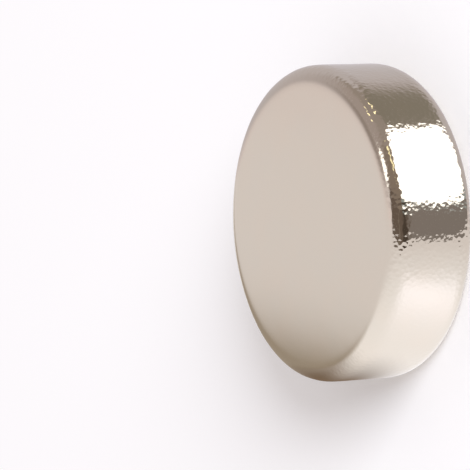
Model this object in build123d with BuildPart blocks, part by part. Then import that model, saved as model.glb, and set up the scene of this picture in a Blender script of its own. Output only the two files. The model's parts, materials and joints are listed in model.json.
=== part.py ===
"""A 10 x 3 mm disc magnet: one sintered neodymium disc with a nickel skin, lying on a flat pole face.

Millimetres, +Z up. The origin is the centre of the lower pole face, and +Z is the disc's own axis,
which is also the direction that it is magnetised in.
"""

import os

from build123d import *

# ---- driving dimensions, in mm -------------------------------------------------------------
diameter = 10.0  # outside diameter over the plating
thickness = 3.0  # from pole face to pole face, over the plating
edge_radius = 0.5  # round that tumbling leaves where each pole face meets the rim

# ---- the disc --------------------------------------------------------------------------------
# The blank is pressed and sintered as a plain round disc and then ground to size. Tumbling rounds
# both of its corners alike before it is plated, so the finished piece is one solid: two flat pole
# faces, a straight rim between them, and a quarter round at each corner.
with BuildPart() as disc_magnet:
    with BuildSketch(Plane.XY):
        Circle(radius=diameter / 2)
    extrude(amount=thickness)
    corners = disc_magnet.edges().filter_by(GeomType.CIRCLE)
    fillet(corners, radius=edge_radius)

disc_magnet.part.label = "disc_magnet"

# ---- export ----------------------------------------------------------------------------------
os.makedirs("parts", exist_ok=True)
export_step(disc_magnet.part, "parts/disc_magnet.step")

rim_height = thickness - 2 * edge_radius
print(f"disc magnet {diameter} x {thickness} mm, straight rim {rim_height} mm")
print(f"volume {disc_magnet.part.volume:.2f} mm3")
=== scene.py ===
# %% [markdown]
# # A nickel-plated disc magnet, 10 mm across and 3 mm thick
#
# The real thing is a sintered neodymium disc. It is pressed, sintered, ground flat, tumbled until
# its corners are round, and then plated with nickel, copper and nickel again. What the eye sees is
# only the last layer of nickel: a warm grey mirror with a fine grain in it. So this lesson has two
# subjects, a surface of revolution with the small unevenness that tumbling leaves, and the studio
# around it, because a mirror looks like whatever stands around it.

# %% Load the frame
import json
import math

import bpy
import numpy as np
from mathutils import Matrix, Vector


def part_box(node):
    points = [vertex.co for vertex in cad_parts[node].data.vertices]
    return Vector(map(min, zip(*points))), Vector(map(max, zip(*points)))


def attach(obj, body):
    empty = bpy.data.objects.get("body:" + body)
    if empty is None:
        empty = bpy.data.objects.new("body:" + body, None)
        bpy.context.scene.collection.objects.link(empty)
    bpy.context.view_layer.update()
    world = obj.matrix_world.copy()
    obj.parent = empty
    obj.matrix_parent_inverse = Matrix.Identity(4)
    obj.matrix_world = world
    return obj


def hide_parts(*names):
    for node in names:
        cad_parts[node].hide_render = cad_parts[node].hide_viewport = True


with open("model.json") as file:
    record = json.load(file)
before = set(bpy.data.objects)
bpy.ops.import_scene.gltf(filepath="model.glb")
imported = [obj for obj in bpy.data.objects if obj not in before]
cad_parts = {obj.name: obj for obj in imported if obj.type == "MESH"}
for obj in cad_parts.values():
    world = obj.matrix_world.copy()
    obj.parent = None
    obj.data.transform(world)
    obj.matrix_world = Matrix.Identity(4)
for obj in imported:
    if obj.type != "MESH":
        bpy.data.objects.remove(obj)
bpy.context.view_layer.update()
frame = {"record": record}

# %% [markdown]
# ## Sizes
#
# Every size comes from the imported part: its box gives the diameter and the thickness, and the mount
# called rim gives the height of the straight wall, so what is left over on each side is the
# rounded edge. Blender works in metres, and lengths below are written in millimetres times MM.

# %% Sizes of the disc
MM = 0.001
node = "disc_magnet"
low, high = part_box(node)
outer_radius = (high.x - low.x) / 2
thickness = high.z - low.z
centre = (low + high) / 2
rim_mount = next(m for m in frame["record"]["mounts"] if m["name"] == "rim")
rim_height = rim_mount["dims"]["length_mm"] * MM
edge_radius = (thickness - rim_height) / 2
print(f"radius {outer_radius / MM:.2f}, thickness {thickness / MM:.2f}, edge {edge_radius / MM:.2f} mm")

# %% [markdown]
# ## The camera
#
# The disc lies on its pole face. The camera looks down on it from 31 degrees above that face with a
# long lens, which keeps the two ends of the rim almost the same size. It is rolled by a little more
# than a quarter turn, so that the disc looks as if it stood on its rim. The three axes of the
# camera are kept, because the studio lights further down are placed from them. Blender takes the
# focal length and the width of the sensor in millimetres.

# %% Camera
camera_azimuth = math.radians(22)
camera_elevation = math.radians(30.67)
camera_roll = math.radians(92.78)
camera_distance = 123.8 * MM
camera_focal_length = 300
camera_sensor_width = 36
disc_right_of_centre = 3.59 * MM
disc_above_centre = 0.41 * MM

level_right = Vector((math.cos(camera_azimuth), math.sin(camera_azimuth), 0))
level_front = Vector((math.sin(camera_azimuth), -math.cos(camera_azimuth), 0))
back = level_front * math.cos(camera_elevation) + Vector((0, 0, math.sin(camera_elevation)))
level_up = back.cross(level_right)
up = level_up * math.cos(camera_roll) + level_right * math.sin(camera_roll)
right = up.cross(back)

camera_data = bpy.data.cameras.new("camera")
camera_data.lens = camera_focal_length
camera_data.sensor_width = camera_sensor_width
camera_data.clip_start = 5 * MM
camera_data.clip_end = 2
camera = bpy.data.objects.new("camera", camera_data)
bpy.context.scene.collection.objects.link(camera)
bpy.context.scene.camera = camera
place = centre + back * camera_distance - right * disc_right_of_centre - up * disc_above_centre
axes = Matrix((right, up, back)).transposed()
camera.matrix_world = Matrix.Translation(place) @ axes.to_4x4()
print("camera at, mm:", [round(v / MM, 1) for v in place])

# %% [markdown]
# ## The section of the disc
#
# Tumbling with stones rounds a corner softly: the curve starts slowly on the flat, is tightest in
# the middle, and dies out again on the rim. A quarter circle starts suddenly, which shows in a
# mirror as a hard line, so the corner here is a quarter of a superellipse. It reaches further in
# than the CAD round, by as much as makes the two curves meet half way round, at 45 degrees.

# %% Section
corner_power = 3.0
corner_reach = edge_radius * (1 - 0.5 ** 0.5) / (1 - 0.5 ** (1 / corner_power))
face_rings = 28
corner_rings = 24
rim_rings = 40


def corner(t):
    """Distances in from the rim and down from the face. As t goes from 0 to 1, a point runs along
    a superellipse quarter, x to the power p plus y to the power p equals 1, scaled to its reach."""
    angle = t * math.pi / 2
    across = np.sin(angle) ** (2 / corner_power)
    down = np.cos(angle) ** (2 / corner_power)
    return corner_reach * (1 - across), corner_reach * (1 - down)


def section():
    """Radius and height of the half outline: out along the upper face, round the upper corner,
    down the rim, round the lower corner and back in along the lower face, without the two poles."""
    flat = (outer_radius - corner_reach) * np.linspace(0, 1, face_rings + 1)[1:]
    inward, down = corner(np.linspace(0, 1, corner_rings + 1)[1:])
    wall = np.linspace(corner_reach, thickness / 2, rim_rings // 2 + 1)[1:]
    radius = np.concatenate([flat, outer_radius - inward, np.full(len(wall), outer_radius)])
    depth = np.concatenate([np.zeros(len(flat)), down, wall])
    lower = slice(len(radius) - 2, None, -1)
    radius = np.concatenate([radius, radius[lower]])
    height = np.concatenate([thickness - depth, depth[lower]])
    return radius, height


ring_radius, ring_height = section()
print(f"{len(ring_radius)} rings, corner reaches {corner_reach / MM:.3f} mm")

# %% [markdown]
# ## Turning the section
#
# The section goes round the axis in equal steps. Each ring is one row of a grid, the last column
# joins the first, and one point at each pole closes the faces. All points come from whole arrays.

# %% Surface of revolution
columns = 640


def turned(radius, height):
    """Points of the rings, radius times cosine and sine of the turn, and then the two poles."""
    turn = np.linspace(0, 2 * math.pi, columns, endpoint=False)
    x = np.outer(radius, np.cos(turn))
    y = np.outer(radius, np.sin(turn))
    z = np.repeat(height[:, None], columns, axis=1)
    rings = np.stack([x, y, z], axis=-1).reshape(-1, 3)
    poles = [[0, 0, height[0]], [0, 0, height[-1]]]
    return np.concatenate([rings, poles])


def ring_faces(rings):
    """Quads between neighbouring rings, and a fan of triangles round each pole, facing outwards."""
    index = np.arange(rings * columns).reshape(rings, columns)
    after = np.roll(index, -1, axis=1)
    quads = np.stack([index[:-1], index[1:], after[1:], after[:-1]], axis=-1).reshape(-1, 4)
    top = np.full(columns, rings * columns)
    fan_top = np.stack([top, index[0], after[0]], axis=-1)
    fan_bottom = np.stack([top + 1, after[-1], index[-1]], axis=-1)
    return quads.tolist() + fan_top.tolist() + fan_bottom.tolist()


points = turned(ring_radius, ring_height)
faces = ring_faces(len(ring_radius))
print(len(points), "points", len(faces), "faces")

# %% [markdown]
# ## Waves without a seam
#
# Sintered powder is never quite smooth, tumbling wears it unevenly, and plating rounds what is
# left over. The eye knows that as orange peel. A noise texture could bend the light alike, but
# relief in the mesh is part of the shape itself. Sums of plane waves in random directions make
# it: such a sum has no seam and no grain direction, and one seed gives the same surface every time.

# %% Waves
relief_seed = 7
waves_per_scale = 48
shortest_wave = 0.75
longest_wave = 1.35


def waves(where, wavelength, rng):
    """Sum of sines of the place along random directions, all of nearly one wavelength, divided by
    the root of half their number, which gives it a root mean square of one."""
    direction = rng.normal(size=(waves_per_scale, 3))
    direction /= np.linalg.norm(direction, axis=1, keepdims=True)
    length = wavelength * rng.uniform(shortest_wave, longest_wave, waves_per_scale)
    phase = rng.uniform(0, 2 * math.pi, waves_per_scale)
    travel = where @ (direction * 2 * math.pi / length[:, None]).T
    return np.sin(travel + phase).sum(axis=1) / (waves_per_scale / 2) ** 0.5


print(waves_per_scale, "waves a scale, each", shortest_wave, "to", longest_wave, "of its wavelength")

# %% [markdown]
# ## Which way is out
#
# Relief is pushed along the surface's own direction. On a turned shape that is the outward
# direction of the section, carried round with the rings, so it is worked out once for the section
# and not for each face.

# %% Outward directions
def outward(radius, height):
    """Unit direction out of the section at each ring, from the slope of its outline."""
    slope_radius = np.gradient(radius)
    slope_height = np.gradient(height)
    length = np.hypot(slope_radius, slope_height)
    return -slope_height / length, slope_radius / length


def normals(radius, height):
    """The section's outward direction carried round with the rings, and straight up or down at
    the poles."""
    out_radius, out_height = outward(radius, height)
    turn = np.linspace(0, 2 * math.pi, columns, endpoint=False)
    x = np.outer(out_radius, np.cos(turn))
    y = np.outer(out_radius, np.sin(turn))
    z = np.repeat(out_height[:, None], columns, axis=1)
    rings = np.stack([x, y, z], axis=-1).reshape(-1, 3)
    return np.concatenate([rings, [[0, 0, 1], [0, 0, -1]]])


directions_out = normals(ring_radius, ring_height)
print(len(directions_out), "outward directions")

# %% [markdown]
# ## Orange peel
#
# The peel has two scales: a fine one of half a millimetre and half a micrometre, and a broad one of
# a millimetre and a half and a little over one micrometre. Every push goes inwards, so that the disc
# keeps inside its box. Grinding has taken three quarters of the peel off the pole faces. How far a
# ring is from its face, as a share of the corner's reach, is 0 on a face and 1 on the rim, and what
# belongs to the face fades out over the first third of that.

# %% Relief
fine_peel_size = 0.55 * MM
fine_peel_depth = 0.5e-3 * MM
broad_peel_size = 1.5 * MM
broad_peel_depth = 1.3e-3 * MM
ground_away = 0.75
face_fade = 3

from_face = thickness / 2 - abs(ring_height - thickness / 2)
corner_drop = np.minimum(from_face, corner_reach) / corner_reach
on_face = np.clip(1 - corner_drop * face_fade, 0, 1)

rng = np.random.default_rng(relief_seed)
peel = fine_peel_depth * waves(points, fine_peel_size, rng)
peel = peel + broad_peel_depth * waves(points, broad_peel_size, rng)
pole_keeps = 1 - ground_away
keeps = np.concatenate([np.repeat(1 - ground_away * on_face, columns), [pole_keeps, pole_keeps]])
relief = (peel - peel.max()) * keeps
points = points + directions_out * relief[:, None]
print(f"relief {-relief.min() / MM * 1000:.1f} micrometres deep")

# %% [markdown]
# ## The mesh, and where it rides
#
# The points and faces go into one mesh, whose object stays at the origin. It stands for the plain
# CAD disc, so it takes that node's place and its plating. Two numbers are kept at each point for
# the material. One says how much the point belongs to a flat pole face. The other says how much the
# tumbler has knocked it: not at all on a face, fully on a corner and under half as much on the rim.
# It rises over the first sixth of the corner and falls to the rim's share over the last.

# %% Mesh
rim_calm = 0.55
knock_fade = 6


def make_piece(name, vertices, polygons):
    """A smooth-shaded mesh object at the origin, with its place in its mesh."""
    mesh = bpy.data.meshes.new(name)
    mesh.from_pydata(vertices.tolist(), [], polygons)
    mesh.shade_smooth()
    mesh.update()
    piece = bpy.data.objects.new(name, mesh)
    bpy.context.scene.collection.objects.link(piece)
    return piece


def add_number(piece, name, values):
    """A number for each point, which a material reads by its name."""
    layer = piece.data.attributes.new(name, "FLOAT", "POINT")
    layer.data.foreach_set("value", np.asarray(values, np.float32))


off_the_face = np.clip(corner_drop * knock_fade, 0, 1)
near_the_rim = np.clip(corner_drop * knock_fade - (knock_fade - 1), 0, 1)
knocked = off_the_face * (1 - rim_calm * near_the_rim)

disc = make_piece("plated_disc", points, faces)
add_number(disc, "pole_face", np.concatenate([np.repeat(on_face, columns), [1, 1]]))
add_number(disc, "knocked", np.concatenate([np.repeat(knocked, columns), [0, 0]]))
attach(disc, "root")
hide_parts(node)
print("triangles:", sum(len(f) - 2 for f in faces))

# %% [markdown]
# ## Nodes and colours
#
# Shaders work in linear light, and people choose colours as sRGB hex, so one function turns the one
# into the other. Another adds any node with its settings and links, which keeps a whole material
# short enough to read at a glance.

# %% Helpers for materials
def linear(hex_colour, strength=1.0):
    """An sRGB hex colour as linear light times a strength, with an alpha of one."""
    channels = [int(hex_colour[i:i + 2], 16) / 255 for i in (1, 3, 5)]
    light = [c / 12.92 if c <= 0.04045 else ((c + 0.055) / 1.055) ** 2.4 for c in channels]
    return (*[strength * c for c in light], 1.0)


def add_node(tree, kind, settings=(), **sockets):
    """One node: settings are its own properties, and each socket gets a value or a link. A socket
    goes by its name, with _ for a space, or by _ and its number where its name isn't unique."""
    made = tree.nodes.new(kind)
    for key, value in dict(settings).items():
        setattr(made, key, value)
    for key, value in sockets.items():
        by_number = key[1:].isdigit()
        socket = made.inputs[int(key[1:])] if by_number else made.inputs[key.replace("_", " ")]
        if isinstance(value, bpy.types.NodeSocket):
            tree.links.new(value, socket)
        else:
            socket.default_value = value
    return made


def new_material(name):
    """An empty material, its node tree and its output node."""
    material = bpy.data.materials.new(name)
    material.use_nodes = True
    material.node_tree.nodes.clear()
    return material, material.node_tree, material.node_tree.nodes.new("ShaderNodeOutputMaterial")


print("middle grey in linear light:", round(linear("#808080")[0], 3))

# %% [markdown]
# ## Bright nickel
#
# Nickel is a metal with a slightly yellow grey. Bright plating is a mirror that keeps the shape of
# what is under it. The ground pole faces stay even and a little satin. On the rim the grains of
# sintered powder show as pebbles about a tenth of a millimetre across, so the edge of every
# reflection there looks torn. The discs knock against each other in the tumbler, which leaves nicks
# on the rounded corners and weaker ones on the rim: a pattern of soft cells gives them, as deep at
# each point as the number called knocked says. Both patterns are bumps, because they are only
# micrometres deep. A faint cloudiness in the colour stands for the uneven last bath. Nickel has no
# clear coat, and the IOR stays as it is for a metal.

# %% Nickel plating
grain_size = 0.13 * MM
grain_depth = 4e-3 * MM
face_grain_share = 0.08
nick_spacing = 0.14 * MM
nick_depth = 8.5e-3 * MM
nick_softness = 0.3
cloud_size = 1.5 * MM
rim_roughness = 0.065
face_roughness = 0.14


def nickel_plating():
    """Metal with the colour of nickel, a smooth rim and satin faces, a pebbled bump, and small
    nicks on the rounded corners and the rim."""
    material, tree, output = new_material("bright_nickel_plating")
    place = add_node(tree, "ShaderNodeTexCoord")
    grain = add_node(tree, "ShaderNodeTexNoise", {"noise_dimensions": "3D"},
                     Vector=place.outputs["Object"], Scale=1 / grain_size, Detail=1.0,
                     Roughness=0.5)
    face = add_node(tree, "ShaderNodeAttribute", {"attribute_name": "pole_face"})
    strength = add_node(tree, "ShaderNodeMapRange", Value=face.outputs["Fac"],
                        To_Min=1.0, To_Max=face_grain_share)
    pebbles = add_node(tree, "ShaderNodeBump", Strength=strength.outputs["Result"],
                       Distance=grain_depth, Height=grain.outputs["Fac"])
    cells = add_node(tree, "ShaderNodeTexVoronoi", {"feature": "SMOOTH_F1"},
                     Vector=place.outputs["Object"], Scale=1 / nick_spacing,
                     Smoothness=nick_softness)
    knocks = add_node(tree, "ShaderNodeAttribute", {"attribute_name": "knocked"})
    nicks = add_node(tree, "ShaderNodeBump", Strength=knocks.outputs["Fac"],
                     Distance=nick_depth, Height=cells.outputs["Distance"],
                     Normal=pebbles.outputs["Normal"])
    gloss = add_node(tree, "ShaderNodeMapRange", Value=face.outputs["Fac"],
                     To_Min=rim_roughness, To_Max=face_roughness)
    clouds = add_node(tree, "ShaderNodeTexNoise", Vector=place.outputs["Object"],
                      Scale=1 / cloud_size, Detail=2.0)
    tint = add_node(tree, "ShaderNodeMix", {"data_type": "RGBA"}, _0=clouds.outputs["Fac"],
                    _6=linear("#d8cdbf"), _7=linear("#d4cdc1"))
    metal = add_node(tree, "ShaderNodeBsdfPrincipled", Base_Color=tint.outputs[2], Metallic=1.0,
                     Roughness=gloss.outputs["Result"], Normal=nicks.outputs["Normal"])
    tree.links.new(metal.outputs["BSDF"], output.inputs["Surface"])
    return material


plating = nickel_plating()
disc.data.materials.append(plating)
print(plating.name, "has", len(plating.node_tree.nodes), "nodes")

# %% [markdown]
# ## The studio that the metal reflects
#
# A mirror has hardly any look of its own, so the studio is half of the picture. A product studio
# for shiny things is a tent of white cloth: pale walls and ceiling, one big softbox on the right, a
# strip light on the left, and a dark opening where the camera looks in. Each of these could be a
# lamp or a card of its own. Here they are painted, from the back to the front, on one large sphere
# that only mirror rays can see, because then each one is a line with a direction and a size. It
# stands still: another camera would see other reflections in the disc. Painting needs masks with
# soft edges first, made from one S-shaped step.

# %% Soft masks
def smooth(low_end, high_end, value):
    """0 below the low end, 1 above the high end, and an S-shaped step between."""
    t = np.clip((value - low_end) / (high_end - low_end), 0, 1)
    return t * t * (3 - 2 * t)


def window(value, start, stop, blur):
    """1 between start and stop and 0 outside, fading over twice the blur at each end."""
    return smooth(start - blur, start + blur, value) * (1 - smooth(stop - blur, stop + blur, value))


print("a window from 0 to 10 at 0, 5 and 12:", window(np.array([0, 5, 12]), 0, 10, 1))

# %% [markdown]
# ## Directions and lamps
#
# Directions go out from the disc, in degrees. Azimuth 0 with elevation 0 points at the camera,
# azimuth grows to the camera's right, and elevation is above the camera. A lamp is a rounded
# rectangle or an ellipse in the sky, so its mask comes from a distance that is 1 along its edge.

# %% Directions and lamps
def toward_angles(azimuth, elevation):
    """Unit vectors along the camera's right, up and back axes, from angles in degrees: the sine of
    the elevation is the part that goes up, and the azimuth shares out the rest as sine and cosine."""
    across = np.radians(azimuth)
    above = np.radians(elevation)
    level = np.cos(above)
    return np.stack([level * np.sin(across), np.sin(above), level * np.cos(across)], axis=-1)


def reach(directions, azimuth, elevation, half_width, half_height, roll=0, squareness=2.0):
    """How far each direction is from a lamp's middle, as a share of the way to its edge. The angles
    across and up from the middle are divided by the half sizes and joined as a superellipse."""
    middle = toward_angles(azimuth, elevation)
    side = toward_angles(azimuth + 90, 0)
    top = np.cross(middle, side)
    across = np.degrees(np.arctan2(directions @ side, directions @ middle))
    above = np.degrees(np.arcsin(np.clip(directions @ top, -1, 1)))
    turn = math.radians(roll)
    x = across * math.cos(turn) + above * math.sin(turn)
    y = above * math.cos(turn) - across * math.sin(turn)
    return (abs(x / half_width) ** squareness + abs(y / half_height) ** squareness) ** (1 / squareness)


print("straight at the camera:", toward_angles(0, 0))

# %% [markdown]
# ## Painting the tent
#
# Each patch of the studio is a mask, a colour and a strength, and it covers what was laid before it.
# A mask made of windows is a band or a panel, and one made of reach is a lamp or an opening. A
# strength above 1 is brighter than white paper. All numbers are degrees, apart from the edges of a
# reach, which are shares of the way out.

# %% Tent light
softbox_strength = 2.4
strip_strength = 2.2
small_lamp_strength = 2.4
yellow_lamp_strength = 1.7
small_lamp_half_size = 3.5


def lay(light, mask, colour, strength=1.0):
    """Paints a colour over the light already there, as thickly as the mask says."""
    paint = np.array(linear(colour, strength)[:3])
    light[:] = light * (1 - mask[..., None]) + mask[..., None] * paint


def lay_cloth(light, there, azimuth, elevation):
    """Walls, ceiling and the opening of the tent."""
    # the backdrop is greyer above its bright foot
    lay(light, smooth(-2, 8, elevation), "#d4ced2")
    # grey wall on the camera's left, ceiling, and the olive corner between ceiling and wall
    lay(light, window(azimuth, -112, 60, 20) * smooth(0, 9, elevation), "#b9aeab")
    lay(light, window(azimuth, -128, 172, 18) * smooth(42, 64, elevation), "#aba19b")
    lay(light, smooth(70, 84, elevation), "#aaa09a")
    lay(light, window(azimuth, 78, 152, 14) * smooth(44, 60, elevation), "#969086")
    # the dim opening of the tent, and a grey fold at the foot of the wall
    lay(light, 1 - smooth(0.7, 1.15, reach(there, 0, 10, 56, 42)), "#978a7f")
    lay(light, window(azimuth, -108, -88, 8) * window(elevation, 3, 14, 4), "#a59a95")


def lay_room(light, azimuth, elevation):
    """The dark room behind the camera: grey far on the right, brown from there to the left, darkest
    a little right of the camera, and a paler strip straight behind it."""
    room = window(azimuth, -62, 104, 6) * window(elevation, -30, 10, 2)
    lay(light, room, "#918a87")
    lay(light, room * (1 - smooth(46, 60, azimuth)), "#75685f")
    lay(light, room * window(azimuth, 26, 48, 6), "#554b43")
    lay(light, room * window(azimuth, -4, 3, 2), "#8d8278")


def lay_lamps(light, there, azimuth, elevation):
    """The softbox with its glow, the strip light and the small lamps."""
    # key softbox on the right, with a bluish glow under it and a yellow lamp on its left
    lay(light, window(azimuth, 25, 104, 4) * window(elevation, 9, 16, 1.5), "#a9b2b4")
    yellow_lamp = reach(there, 4, 39, 5.5, 11)
    lay(light, 1 - smooth(0.6, 1.2, yellow_lamp), "#fff6c8", yellow_lamp_strength)
    softbox = reach(there, 61, 35.5, 33, 25, roll=4, squareness=2.3)
    lay(light, 1 - smooth(0.97, 1.03, softbox), "#ffffff", softbox_strength)
    # strip light on the left
    strip = reach(there, -66, 14, 15, 5, roll=24)
    lay(light, 1 - smooth(0.8, 1.1, strip), "#ffffff", strip_strength)
    # two small lamps, one high up and one on the left
    for lamp_azimuth, lamp_elevation in ((40, 85), (-62, 54)):
        small_lamp = reach(there, lamp_azimuth, lamp_elevation, small_lamp_half_size,
                           small_lamp_half_size)
        lay(light, 1 - smooth(0.6, 1.3, small_lamp), "#fff6c8", small_lamp_strength)


def tent_light(azimuth, elevation):
    """The brightness of the studio in each direction, laid on from the back to the front."""
    there = toward_angles(azimuth, elevation)
    light = np.ones(there.shape) * linear("#fdf3f4")[:3]
    lay_cloth(light, there, azimuth, elevation)
    lay_room(light, azimuth, elevation)
    lay_lamps(light, there, azimuth, elevation)
    return light


softbox_middle = tent_light(np.array([61.0]), np.array([35.5]))
print("light in the middle of the softbox:", softbox_middle.round(2))

# %% [markdown]
# ## The tent as a sphere
#
# The tent is a sphere 40 cm in radius with a point for every degree, and each point holds its
# colour. Nodes could work out the same masks, but as arrays they are shorter to write and to read.
# It shines for mirror rays alone, so it doesn't light the floor, and it isn't part of the object.

# %% Light tent
tent_radius = 400 * MM
tent_columns = 360
tent_rows = 180
highest_row = 89.5


def sphere_grid(around, upward, radius):
    """Azimuths and elevations of a grid over the sphere, and its points round the disc."""
    azimuth, elevation = np.meshgrid(np.linspace(-180, 180, around, endpoint=False),
                                     np.linspace(-highest_row, highest_row, upward))
    camera_axes = np.array([right, up, back])
    place = np.array(centre) + radius * toward_angles(azimuth, elevation) @ camera_axes
    return azimuth, elevation, place


def grid_faces(rows, around, closed):
    """Quads of a grid of points, closed round its rows or open."""
    index = np.arange(rows * around).reshape(rows, around)
    after = np.roll(index, -1, axis=1)
    quads = np.stack([index[:-1], after[:-1], after[1:], index[1:]], axis=-1)
    return (quads if closed else quads[:, :-1]).reshape(-1, 4).tolist()


def add_light(piece, values):
    """The light that each point sends out, in linear light, under the name light."""
    layer = piece.data.attributes.new("light", "FLOAT_COLOR", "POINT")
    rgba = np.concatenate([values.reshape(-1, 3), np.ones((values.size // 3, 1))], axis=1)
    layer.data.foreach_set("color", rgba.astype(np.float32).ravel())


def glow(name):
    """A material that shines with the light stored at each point."""
    material, tree, output = new_material(name)
    colour = add_node(tree, "ShaderNodeAttribute", {"attribute_name": "light"})
    shine = add_node(tree, "ShaderNodeEmission", Color=colour.outputs["Color"], Strength=1.0)
    tree.links.new(shine.outputs["Emission"], output.inputs["Surface"])
    material.cycles.emission_sampling = "NONE"
    return material


def only_in_reflections(thing):
    """Leaves a studio piece to the metal's mirror rays alone."""
    thing.visible_camera = False
    thing.visible_diffuse = False
    thing.visible_transmission = False
    thing.visible_volume_scatter = False
    thing.visible_shadow = False


tent_azimuth, tent_elevation, tent_points = sphere_grid(tent_columns, tent_rows, tent_radius)
tent = make_piece("light_tent", tent_points.reshape(-1, 3), grid_faces(tent_rows, tent_columns, True))
add_light(tent, tent_light(tent_azimuth, tent_elevation))
# the tent shines with painted reflections of a studio's walls, lamps and dark opening
tent.data.materials.append(glow("painted_tent_reflections"))
only_in_reflections(tent)
print("tent of", len(tent.data.vertices), "points")

# %% [markdown]
# ## The light on the table
#
# The lower half of what the metal shows is a table of white paper, painted as light on a card. It
# has a painted pool of light beside the disc, where the softbox falls on it, the disc's soft shadow
# painted on it, and painted shade that is darkest at the contact.
# Places on the table are millimetres from the contact, to the camera's right and towards it.

# %% Table light
near_reach = 14
near_strength = 1.28
hot_spot_side = 5.6
hot_spot_toward = 4.8
hot_spot_reach = 2.8
hot_spot_strength = 1.64
shadow_left = 0.88
shadow_back = 0.48
shadow_skew = 2.2
shadow_axis = 1.4
shadow_full_length = 4
shadow_fade_length = 14.5
shadow_fade_power = 1.9
shadow_half_width = 3.5
shadow_spread = 0.5
contact_side = -0.6
contact_toward = 0.5


def cast_shadow(side, toward):
    """The disc's soft shadow, painted on the card: full over a short way to the left and back, then
    fading as a bell curve of the distance, wider the further it falls, and shorter on its front side."""
    along = (-side * shadow_left - toward * shadow_back) / MM
    beside = (-side * shadow_back + toward * shadow_left) / MM
    far = along + shadow_skew * (beside - shadow_axis)
    faded = (np.maximum(far - shadow_full_length, 0) / shadow_fade_length) ** shadow_fade_power
    width = shadow_half_width + shadow_spread * abs(along)
    return np.exp(-faded) * smooth(-0.5, 2.5, along) * (1 - smooth(0.5, 1.0, abs(beside) / width))


def table_light(side, toward):
    """Painted light on the card: paper brightened towards the disc by a painted pool of light, darker
    far behind it except on the left, a painted hot spot under the softbox, the painted cast shadow
    and a painted dark contact shadow."""
    away = np.hypot(side, toward) / MM
    light = np.ones(side.shape + (3,)) * linear("#f8f4f6")[:3]
    # painted pool of light that fades away from the disc
    lay(light, np.exp(-(away / near_reach) ** 2), "#fbfbff", near_strength)
    lay(light, smooth(15, 80, -toward / MM) * smooth(-30, -5, side / MM), "#d5cfd1")
    # painted hot spot where the softbox falls
    hot = np.hypot(side / MM - hot_spot_side, toward / MM - hot_spot_toward)
    lay(light, np.exp(-(hot / hot_spot_reach) ** 2), "#f6f6ff", hot_spot_strength)
    # painted soft shadow of the disc
    lay(light, cast_shadow(side, toward), "#b1a698")
    # painted dark shade at the contact
    contact = np.hypot(side / MM - contact_side, toward / MM - contact_toward)
    lay(light, 1 - smooth(0.4, 3.05, contact), "#877462")
    return light


at_contact = table_light(np.array([contact_side * MM]), np.array([contact_toward * MM]))
print("light at the contact:", at_contact.round(2))

# %% [markdown]
# ## The table card
#
# This card is seen by mirror rays alone, and ends about three centimetres in front of the disc. The
# disc lies flat on the floor, which comes next. But the camera is rolled, so the card lies across
# the camera's up direction, where a table would be if the disc stood on its rim. Its upper side is
# tipped towards the camera by a few degrees, as a table's is when the camera looks slightly down.
# The card's points crowd towards the contact, where the light changes fastest.

# %% Shooting table card
camera_tilt = math.radians(4.7)
table_up = up * math.cos(camera_tilt) + back * math.sin(camera_tilt)
table_toward = back * math.cos(camera_tilt) - up * math.sin(camera_tilt)
table_side = right
table_clearance = 0.02 * MM
table_foot = centre - table_up * (outer_radius + table_clearance)
table_cells = 160
table_half = 150 * MM
front_middle = 29 * MM
front_skew = 0.28
front_skew_reach = 40 * MM
crowding = 2.2


def spread(start, stop, count):
    """Places from start to stop that crowd near zero, where the disc would touch: a step along the
    line is raised to a power, with its sign kept."""
    t = np.linspace(-1, 1, count)
    curve = np.sign(t) * abs(t) ** crowding
    return np.where(t < 0, -start * curve, stop * curve)


def table_front(side):
    """How far the table reaches towards the camera: its front edge runs a little askew."""
    return front_middle - front_skew * np.clip(side, -front_skew_reach, front_skew_reach)


side, share = np.meshgrid(spread(-table_half, table_half, table_cells), spread(-1, 1, table_cells))
toward = np.where(share < 0, table_half * share, table_front(side) * share)
table_points = (np.array(table_foot) + side[..., None] * np.array(table_side)
                + toward[..., None] * np.array(table_toward))
# a card that shows mirror rays the painted light and shade of a paper table
table = make_piece("painted_table_reflection", table_points.reshape(-1, 3),
                   grid_faces(table_cells, table_cells, False))
add_light(table, table_light(side, toward))
# the card glows with the painted light, painted shadow and painted contact shade of the table
table.data.materials.append(glow("painted_table_light"))
only_in_reflections(table)
print("table card of", len(table.data.vertices), "points")

# %% [markdown]
# ## The floor
#
# What the camera sees round the disc is plain white paper, and the disc lies flat on it. A single
# large face is enough, because the paper is matt and even. It is hidden from mirror rays, because
# the table card stands in for it there.

# %% Floor
floor_half = 600 * MM
floor_gap = 0.005 * MM


def floor_paper():
    """Matt white paper."""
    material, tree, output = new_material("matt_white_paper")
    paper = add_node(tree, "ShaderNodeBsdfDiffuse", Color=linear("#fcfbfd"))
    tree.links.new(paper.outputs["BSDF"], output.inputs["Surface"])
    return material


corners = np.array([[-1, -1, 0], [1, -1, 0], [1, 1, 0], [-1, 1, 0]]) * floor_half
corners[:, 2] = low.z - floor_gap
floor = make_piece("floor", corners, [[0, 1, 2, 3]])
floor.data.materials.append(floor_paper())
floor.visible_glossy = False
print("floor", round(2 * floor_half / MM), "mm wide")

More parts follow.
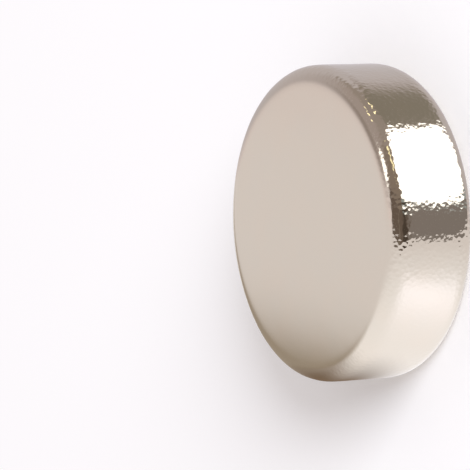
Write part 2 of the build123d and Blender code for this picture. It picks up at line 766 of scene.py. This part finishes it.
# %% [markdown]
# ## The air
#
# The world is the soft light that fills the shadows. With a single level, either the lamp and the
# world together would burn the paper out, or the background would be dull. So it has two: it is
# white where the camera, a mirror or a glass looks at it, and weaker where it lights the floor.

# %% World
air_level = 0.7

world = bpy.data.worlds.new("studio")
bpy.context.scene.world = world
world.use_nodes = True
sky = world.node_tree
sky.nodes.clear()
path = add_node(sky, "ShaderNodeLightPath")
seen = add_node(sky, "ShaderNodeMath", {"operation": "MAXIMUM"},
                _0=path.outputs["Is Camera Ray"], _1=path.outputs["Is Glossy Ray"])
seen_through = add_node(sky, "ShaderNodeMath", {"operation": "MAXIMUM"},
                        _0=seen.outputs[0], _1=path.outputs["Is Transmission Ray"])
level = add_node(sky, "ShaderNodeMapRange", Value=seen_through.outputs[0],
                 To_Min=air_level, To_Max=1.0)
air = add_node(sky, "ShaderNodeBackground", Color=linear("#fff9f7"), Strength=level.outputs["Result"])
add_node(sky, "ShaderNodeOutputWorld", Surface=air.outputs["Background"])
print("world with", len(sky.nodes), "nodes")

# %% [markdown]
# ## The key lamp
#
# One large round lamp gives the disc its soft shadow on the paper. It stands low, in front of the
# disc and to the right. A smaller lamp would give a harder shadow. The metal doesn't mirror it,
# because the softbox painted on the tent does that part.

# %% Key lamp
lamp_size = 340 * MM
lamp_distance = 600 * MM
lamp_power = 3.95
lamp_right = 0.5
lamp_height = 0.45

lamp_data = bpy.data.lights.new("key_lamp", "AREA")
lamp_data.shape = "DISK"
lamp_data.size = lamp_size
lamp_data.energy = lamp_power
lamp_data.color = linear("#f4f9ff")[:3]
lamp_direction = (level_front + level_right * lamp_right + Vector((0, 0, lamp_height))).normalized()
lamp = bpy.data.objects.new("key_lamp", lamp_data)
lamp.location = centre + lamp_direction * lamp_distance
lamp.rotation_mode = "QUATERNION"
lamp.rotation_quaternion = (-lamp_direction).to_track_quat("-Z", "Y")
lamp.visible_glossy = False
bpy.context.scene.collection.objects.link(lamp)

bpy.context.scene.view_settings.view_transform = "Standard"
print("lamp at, mm:", [round(v / MM) for v in lamp.location])
